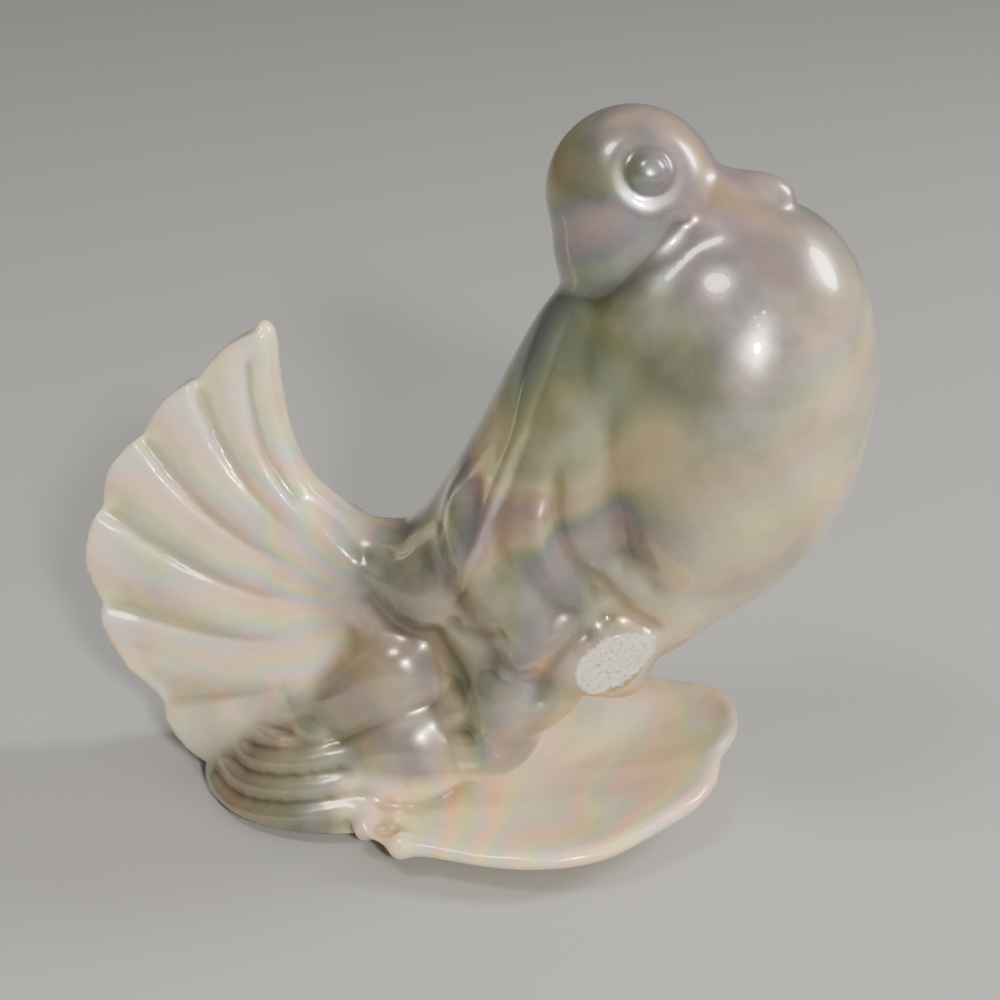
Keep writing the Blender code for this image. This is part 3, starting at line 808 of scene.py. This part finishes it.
# One full cycle of the lustre's colours, on the grey glaze and on the cream glaze
DEEP_LUSTRE = ((0.00, (0.50, 0.34, 0.21)), (0.14, (0.50, 0.41, 0.22)), (0.30, (0.26, 0.29, 0.16)),
               (0.46, (0.18, 0.21, 0.20)), (0.60, (0.26, 0.22, 0.27)), (0.80, (0.44, 0.30, 0.28)),
               (1.00, (0.50, 0.34, 0.21)))
LIGHT_LUSTRE = ((0.00, (1.00, 0.72, 0.47)), (0.14, (0.97, 0.87, 0.46)), (0.30, (0.74, 0.84, 0.50)),
                (0.46, (0.64, 0.76, 0.68)), (0.60, (0.80, 0.66, 0.72)), (0.80, (1.00, 0.68, 0.56)),
                (1.00, (1.00, 0.72, 0.47)))
GREY_GLAZE = (0.22, 0.205, 0.165)
CREAM_GLAZE = (0.97, 0.88, 0.68)
# Peach of the tail's and the dish's glaze, and painted peach light on the breast
PEACH_GLAZE_AND_LIGHT = (1.0, 0.90, 0.75)
# Painted shade, multiplied into the colour of creases and hollows
CREASE_SHADE_TINT = (0.50, 0.45, 0.37)
CLAY_SPECK = (0.34, 0.32, 0.27)
BARE_CLAY = (0.84, 0.77, 0.62)


def lustre_glaze():
    """Mother-of-pearl lustre: wandering bands of thin colour over a cream glaze."""
    n = Nodes("lustre_glaze")
    place = n.add("ShaderNodeTexCoord").outputs["Object"]
    # hollow carries the painted shade of creases and hollows
    hollow = n.stored("hollow")
    bare = n.stored("bare")
    peach_glaze_and_light = n.stored("peach_glaze_and_light")

    # Glaze below the lustre: cream on the tail and the dish, greyer on the body, and lighter on the
    # breast's front and right as painted reflected light
    uneven = n.math("MULTIPLY", n.math("SUBTRACT", n.noise(place, 70.0, 3.0), 0.5), 0.9)
    pale_glaze_and_light = n.math("ADD", n.stored("pale_glaze_and_light"), uneven, True)
    ground = n.mix("MIX", pale_glaze_and_light, GREY_GLAZE, CREAM_GLAZE)

    # Lustre: bands of thin colour that wander over the forms, and follow the tail's feathers
    swirl = n.noise(place, 19.0, 2.0, 0.45, 1.0)
    bands = n.math("MULTIPLY", swirl, 4.6)
    shifted = n.math("ADD", bands, n.math("MULTIPLY", n.stored("feather"), 1.2))
    deep = n.ramp(n.math("FRACT", bands), DEEP_LUSTRE)
    light = n.ramp(n.math("FRACT", shifted), LIGHT_LUSTRE)
    film = n.mix("MIX", pale_glaze_and_light, deep, light)
    strength = n.ramp(n.noise(place, 26.0, 3.0, 0.5), ((0.32, grey(0.20)), (0.60, grey(1.0))))
    strength = n.math("MULTIPLY", strength, n.math("SUBTRACT", 1.0, n.math("MULTIPLY", peach_glaze_and_light, 0.20)))
    coloured = n.mix("MIX", strength, ground, film)
    # Peach tint: the glaze's own on the tail and the dish, painted reflected light on the breast
    coloured = n.mix("MULTIPLY", peach_glaze_and_light, coloured, PEACH_GLAZE_AND_LIGHT)
    # Painted shade: darker in creases and hollows, the more the deeper they lie
    coloured = n.mix("MULTIPLY", n.math("MULTIPLY", hollow, 0.8), coloured, CREASE_SHADE_TINT)

    # Broken glaze: rough bare clay with dark specks
    clay = n.ramp(n.noise(place, 1400.0, 3.0, 0.7), ((0.33, CLAY_SPECK), (0.47, BARE_CLAY)))
    n.link(n.mix("MIX", bare, coloured, clay), n.shader.inputs["Base Color"])
    glazed = n.math("SUBTRACT", 1.0, bare)
    sheen = n.math("SUBTRACT", 0.50, n.math("MULTIPLY", pale_glaze_and_light, 0.40))
    n.link(n.math("MULTIPLY", glazed, sheen), n.shader.inputs["Metallic"])
    rough = n.ramp(n.noise(place, 90.0, 4.0, 0.6), ((0.3, grey(0.24)), (0.8, grey(0.36))))
    n.link(n.mix("MIX", bare, rough, grey(0.95)), n.shader.inputs["Roughness"])
    n.link(glazed, n.shader.inputs["Coat Weight"])
    n.shader.inputs["Coat Roughness"].default_value = 0.03
    n.shader.inputs["Coat IOR"].default_value = 1.5

    # Slow unevenness of the glaze, and the grain of the broken clay
    slow = n.add("ShaderNodeBump")
    n.link(n.math("ADD", 0.22, n.math("MULTIPLY", pale_glaze_and_light, 0.30)), slow.inputs["Strength"])
    slow.inputs["Distance"].default_value = 0.0006
    n.link(n.noise(place, 120.0, 2.0, 0.4), slow.inputs["Height"])
    grain = n.add("ShaderNodeBump")
    grain.inputs["Distance"].default_value = 0.0005
    n.link(bare, grain.inputs["Strength"])
    n.link(n.noise(place, 900.0, 4.0, 0.7), grain.inputs["Height"])
    n.link(slow.outputs[0], grain.inputs["Normal"])
    n.link(grain.outputs[0], n.shader.inputs["Normal"])
    return n.material


def pale_stage():
    """A plain grey floor."""
    bpy.ops.object.select_all(action="DESELECT")
    bpy.ops.mesh.primitive_plane_add(size=6.0, location=(0, 0, 0))
    floor = bpy.context.object
    floor.name = "floor"
    n = Nodes("studio_floor")
    n.shader.inputs["Base Color"].default_value = (0.42, 0.42, 0.41, 1)
    n.shader.inputs["Roughness"].default_value = 0.7
    floor.data.materials.append(n.material)


def soft_light(name, place, size, power, colour):
    """A round or oval lamp that faces the figure."""
    data = bpy.data.lights.new(name, "AREA")
    data.shape = "ELLIPSE"
    data.size, data.size_y = size
    data.energy = power
    data.color = colour
    light = bpy.data.objects.new(name, data)
    light.location = place
    light.rotation_euler = (Vector(LIGHT_AIM) - Vector(place)).to_track_quat("-Z", "Y").to_euler()
    bpy.context.scene.collection.objects.link(light)


def light_studio():
    """Soft lamps, and a room that is dark on the left and brighter on the right and above."""
    world = bpy.data.worlds.new("studio")
    bpy.context.scene.world = world
    world.use_nodes = True
    tree = world.node_tree
    ground = tree.nodes["Background"]
    place = tree.nodes.new("ShaderNodeTexCoord")
    split = tree.nodes.new("ShaderNodeSeparateXYZ")
    total = tree.nodes.new("ShaderNodeMath")
    for axis, start, dimmest, brightest in (("X", -0.8, 0.03, 0.62), ("Z", -0.2, 0.0, 0.15)):
        fade = tree.nodes.new("ShaderNodeMapRange")
        fade.inputs["From Min"].default_value = start
        fade.inputs["To Min"].default_value = dimmest
        fade.inputs["To Max"].default_value = brightest
        tree.links.new(split.outputs[axis], fade.inputs["Value"])
        tree.links.new(fade.outputs[0], total.inputs["XZ".index(axis)])
    tree.links.new(place.outputs["Generated"], split.inputs[0])
    tree.links.new(total.outputs[0], ground.inputs["Strength"])
    ground.inputs["Color"].default_value = (0.86, 0.83, 0.76, 1)
    soft_light("lamp", (0.41, -0.80, 0.52), (0.10, 0.10), 9.0, (1.0, 0.97, 0.92))
    soft_light("window", (0.95, 0.30, 0.75), (0.30, 0.55), 10.0, (0.97, 0.98, 1.0))
    soft_light("ceiling", (-0.30, -0.50, 1.20), (0.45, 0.30), 5.5, (1.0, 0.95, 0.86))


def place_camera():
    """A long lens at the photo's viewing angle."""
    data = bpy.data.cameras.new("camera")
    data.lens = 72.0
    data.sensor_width = 36.0
    data.clip_start = 0.01
    camera = bpy.data.objects.new("camera", data)
    back = Vector((math.sin(CAMERA_TURN) * math.cos(CAMERA_RISE),
                   -math.cos(CAMERA_TURN) * math.cos(CAMERA_RISE), math.sin(CAMERA_RISE)))
    camera.location = Vector(CAMERA_AIM) + back * CAMERA_AWAY
    camera.rotation_euler = back.to_track_quat("Z", "Y").to_euler()
    bpy.context.scene.collection.objects.link(camera)
    bpy.context.scene.camera = camera


place_camera()
light_studio()
pale_stage()
dove = build_dove()
dove.data.materials.clear()
dove.data.materials.append(lustre_glaze())
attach(dove, "root")
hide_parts("dove_statue")
